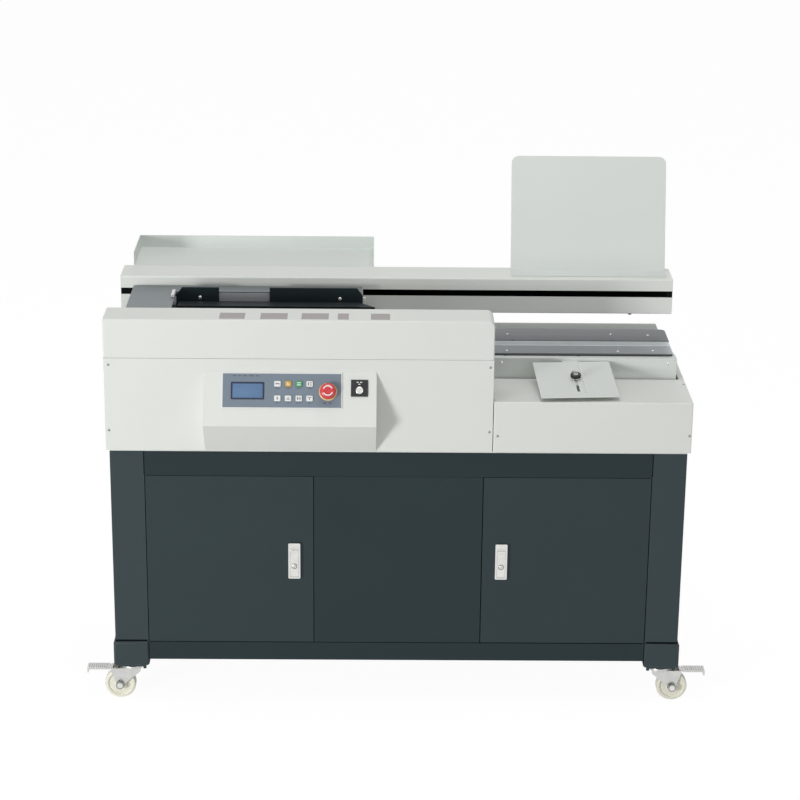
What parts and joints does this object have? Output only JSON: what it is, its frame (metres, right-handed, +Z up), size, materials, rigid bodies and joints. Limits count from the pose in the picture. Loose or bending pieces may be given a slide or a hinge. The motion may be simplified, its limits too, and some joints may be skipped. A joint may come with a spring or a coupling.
{
  "type": "perfect binding machine",
  "caption": "Free-standing perfect binder: cabinet on castors, hinged lid, clamp carriage on a rear beam, milling cutter, glue tank, lifting nip table and cover rack.",
  "frame": {"origin": "centre of the bounding box's footprint, on the floor under the castors", "axes": "+X to the operator's right along the beam, +Y from the operator to the back, +Z up"},
  "size_m": [1.504, 0.704, 1.2449],
  "materials": {
    "casing_white": "satin off-white powder coat",
    "cream_sheet": "satin pale grey powder coat",
    "slate_paint": "fine textured slate powder coat",
    "slate_panel": "fine textured slate powder coat",
    "black_paint": "satin black",
    "black_plastic": "matte",
    "bright_steel": "ground",
    "dark_steel": "dark brushed",
    "grey_cast": "satin grey",
    "chrome": "polished",
    "zinc": "bright zinc plate",
    "nylon": "cream nylon",
    "panel_film": "blue-grey film, bare",
    "screen": "blue display in a dark frame",
    "red_plastic": "gloss",
    "yellow_plastic": "satin",
    "green_plastic": "satin",
    "white_plastic": "satin"
  },
  "bodies": {
    "frame": {"cabinet_body": "slate_paint", "back_panel": "slate_panel", "centre_panel": "slate_panel", "deck_plate": "cream_sheet", "left_cover": "casing_white", "rear_cover": "casing_white", "right_cover": "casing_white", "control_plate": "panel_film", "display": "screen", "estop_base": "yellow_plastic", "key_switch": "black_plastic", "beam": "casing_white", "guide_rail": "bright_steel", "book_tray": "cream_sheet", "cover_rack": "cream_sheet", "milling_motor": "grey_cast", "glue_tank": "grey_cast", "lift_base": "grey_cast", "power_inlet": "black_plastic"},
    "lid": {"lid": "casing_white"},
    "left_door": {"left_door": "slate_panel", "left_lock": "chrome"},
    "right_door": {"right_door": "slate_panel", "right_lock": "chrome"},
    "left_paddle": {"left_paddle": "chrome"},
    "right_paddle": {"right_paddle": "chrome"},
    "castor_front_left": {"castor_front_left_fork": "zinc"},
    "castor_front_left_wheel": {"castor_front_left_wheel": "nylon"},
    "castor_front_left_pedal": {"castor_front_left_pedal": "zinc"},
    "castor_front_right": {"castor_front_right_fork": "zinc"},
    "castor_front_right_wheel": {"castor_front_right_wheel": "nylon"},
    "castor_front_right_pedal": {"castor_front_right_pedal": "zinc"},
    "castor_rear_left": {"castor_rear_left_fork": "zinc"},
    "castor_rear_left_wheel": {"castor_rear_left_wheel": "nylon"},
    "castor_rear_right": {"castor_rear_right_fork": "zinc"},
    "castor_rear_right_wheel": {"castor_rear_right_wheel": "nylon"},
    "button_1": {"button_1": "white_plastic"},
    "button_2": {"button_2": "yellow_plastic"},
    "button_3": {"button_3": "green_plastic"},
    "button_4": {"button_4": "white_plastic"},
    "button_5": {"button_5": "white_plastic"},
    "button_6": {"button_6": "white_plastic"},
    "button_7": {"button_7": "white_plastic"},
    "button_8": {"button_8": "white_plastic"},
    "estop_head": {"estop_head": "red_plastic"},
    "key_barrel": {"key_barrel": "chrome"},
    "carriage": {"carriage_saddle": "bright_steel", "carriage_table": "grey_cast", "rear_jaw": "bright_steel", "jaw_pad": "black_paint", "clamp_gearbox": "grey_cast"},
    "front_jaw": {"front_jaw": "black_paint"},
    "milling_cutter": {"milling_cutter": "bright_steel"},
    "glue_roller_first": {"glue_roller_first": "bright_steel"},
    "glue_roller_second": {"glue_roller_second": "bright_steel"},
    "nip_table": {"nip_table": "cream_sheet", "rear_nip_plate": "dark_steel"},
    "front_nip_plate": {"front_nip_plate": "bright_steel"},
    "guide_plate": {"guide_plate": "cream_sheet"},
    "guide_knob": {"guide_knob": "black_plastic"}
  },
  "joints": [
    {"name": "lid_hinge", "type": "hinge", "parent": "frame", "child": "lid", "pos_m": [0, -0.292, 0.8777], "axis": [1, 0, 0], "range_deg": [0, 80]},
    {"name": "left_door_hinge", "type": "hinge", "parent": "frame", "child": "left_door", "pos_m": [-0.5961, -0.2806, 0.1575], "axis": [0, 0, 1], "range_deg": [-110, 0]},
    {"name": "right_door_hinge", "type": "hinge", "parent": "frame", "child": "right_door", "pos_m": [0.5961, -0.2806, 0.1575], "axis": [0, 0, 1], "range_deg": [0, 110]},
    {"name": "left_paddle_pull", "type": "hinge", "parent": "left_door", "child": "left_paddle", "pos_m": [-0.2469, -0.28955, 0.39775], "axis": [1, 0, 0], "range_deg": [-45, 0]},
    {"name": "right_paddle_pull", "type": "hinge", "parent": "right_door", "child": "right_paddle", "pos_m": [0.2469, -0.28955, 0.39775], "axis": [1, 0, 0], "range_deg": [-45, 0]},
    {"name": "castor_front_left_swivel", "type": "hinge", "parent": "frame", "child": "castor_front_left", "pos_m": [-0.642, -0.259, 0.0902], "axis": [0, 0, 1], "continuous": true},
    {"name": "castor_front_left_roll", "type": "hinge", "parent": "castor_front_left", "child": "castor_front_left_wheel", "pos_m": [-0.673, -0.259, 0.0375], "axis": [0, 1, 0], "continuous": true},
    {"name": "castor_front_left_brake", "type": "hinge", "parent": "castor_front_left", "child": "castor_front_left_pedal", "pos_m": [-0.691, -0.259, 0.077], "axis": [0, 1, 0], "range_deg": [-12, 0]},
    {"name": "castor_front_right_swivel", "type": "hinge", "parent": "frame", "child": "castor_front_right", "pos_m": [0.642, -0.259, 0.0902], "axis": [0, 0, 1], "continuous": true},
    {"name": "castor_front_right_roll", "type": "hinge", "parent": "castor_front_right", "child": "castor_front_right_wheel", "pos_m": [0.673, -0.259, 0.0375], "axis": [0, 1, 0], "continuous": true},
    {"name": "castor_front_right_brake", "type": "hinge", "parent": "castor_front_right", "child": "castor_front_right_pedal", "pos_m": [0.691, -0.259, 0.077], "axis": [0, 1, 0], "range_deg": [0, 12]},
    {"name": "castor_rear_left_swivel", "type": "hinge", "parent": "frame", "child": "castor_rear_left", "pos_m": [-0.642, 0.171, 0.0902], "axis": [0, 0, 1], "continuous": true},
    {"name": "castor_rear_left_roll", "type": "hinge", "parent": "castor_rear_left", "child": "castor_rear_left_wheel", "pos_m": [-0.673, 0.171, 0.0375], "axis": [0, 1, 0], "continuous": true},
    {"name": "castor_rear_right_swivel", "type": "hinge", "parent": "frame", "child": "castor_rear_right", "pos_m": [0.642, 0.171, 0.0902], "axis": [0, 0, 1], "continuous": true},
    {"name": "castor_rear_right_roll", "type": "hinge", "parent": "castor_rear_right", "child": "castor_rear_right_wheel", "pos_m": [0.673, 0.171, 0.0375], "axis": [0, 1, 0], "continuous": true},
    {"name": "button_1_press", "type": "slide", "parent": "frame", "child": "button_1", "axis": [0, 0.8866, -0.4626], "range_m": [0, 0.0012], "stiffness_N_per_m": 400},
    {"name": "button_2_press", "type": "slide", "parent": "frame", "child": "button_2", "axis": [0, 0.8866, -0.4626], "range_m": [0, 0.0012], "stiffness_N_per_m": 400},
    {"name": "button_3_press", "type": "slide", "parent": "frame", "child": "button_3", "axis": [0, 0.8866, -0.4626], "range_m": [0, 0.0012], "stiffness_N_per_m": 400},
    {"name": "button_4_press", "type": "slide", "parent": "frame", "child": "button_4", "axis": [0, 0.8866, -0.4626], "range_m": [0, 0.0012], "stiffness_N_per_m": 400},
    {"name": "button_5_press", "type": "slide", "parent": "frame", "child": "button_5", "axis": [0, 0.8866, -0.4626], "range_m": [0, 0.0012], "stiffness_N_per_m": 400},
    {"name": "button_6_press", "type": "slide", "parent": "frame", "child": "button_6", "axis": [0, 0.8866, -0.4626], "range_m": [0, 0.0012], "stiffness_N_per_m": 400},
    {"name": "button_7_press", "type": "slide", "parent": "frame", "child": "button_7", "axis": [0, 0.8866, -0.4626], "range_m": [0, 0.0012], "stiffness_N_per_m": 400},
    {"name": "button_8_press", "type": "slide", "parent": "frame", "child": "button_8", "axis": [0, 0.8866, -0.4626], "range_m": [0, 0.0012], "stiffness_N_per_m": 400},
    {"name": "estop_press", "type": "slide", "parent": "frame", "child": "estop_head", "axis": [0, 0.8866, -0.4626], "range_m": [0, 0.0035]},
    {"name": "key_turn", "type": "hinge", "parent": "frame", "child": "key_barrel", "pos_m": [-0.0933, -0.3192, 0.81166], "axis": [0, -0.8866, 0.4626], "range_deg": [0, 90]},
    {"name": "carriage_slide", "type": "slide", "parent": "frame", "child": "carriage", "axis": [1, 0, 0], "range_m": [0, 0.765]},
    {"name": "front_jaw_slide", "type": "slide", "parent": "carriage", "child": "front_jaw", "axis": [0, 1, 0], "range_m": [-0.045, 0.014]},
    {"name": "cutter_spin", "type": "hinge", "parent": "frame", "child": "milling_cutter", "pos_m": [-0.005, 0.016, 0.858], "axis": [0, 0, 1], "continuous": true},
    {"name": "first_roller_spin", "type": "hinge", "parent": "frame", "child": "glue_roller_first", "pos_m": [0.109, 0.011, 0.832], "axis": [0, 1, 0], "continuous": true},
    {"name": "second_roller_spin", "type": "hinge", "parent": "frame", "child": "glue_roller_second", "pos_m": [0.171, 0.011, 0.832], "axis": [0, 1, 0], "continuous": true},
    {"name": "nip_lift", "type": "slide", "parent": "frame", "child": "nip_table", "axis": [0, 0, 1], "range_m": [0, 0.03]},
    {"name": "front_nip_slide", "type": "slide", "parent": "nip_table", "child": "front_nip_plate", "axis": [0, 1, 0], "range_m": [-0.045, 0]},
    {"name": "guide_slide", "type": "slide", "parent": "nip_table", "child": "guide_plate", "axis": [-0.0683, 0.9772, 0.2011], "range_m": [-0.035, 0.0015]},
    {"name": "guide_knob_turn", "type": "hinge", "parent": "nip_table", "child": "guide_knob", "pos_m": [0.41718, -0.19867, 0.8051], "axis": [0.014, -0.2006, 0.9796], "continuous": true}
  ],
  "couplings": [
    {"joint": "second_roller_spin", "follows": "first_roller_spin", "ratio": 1}
  ]
}
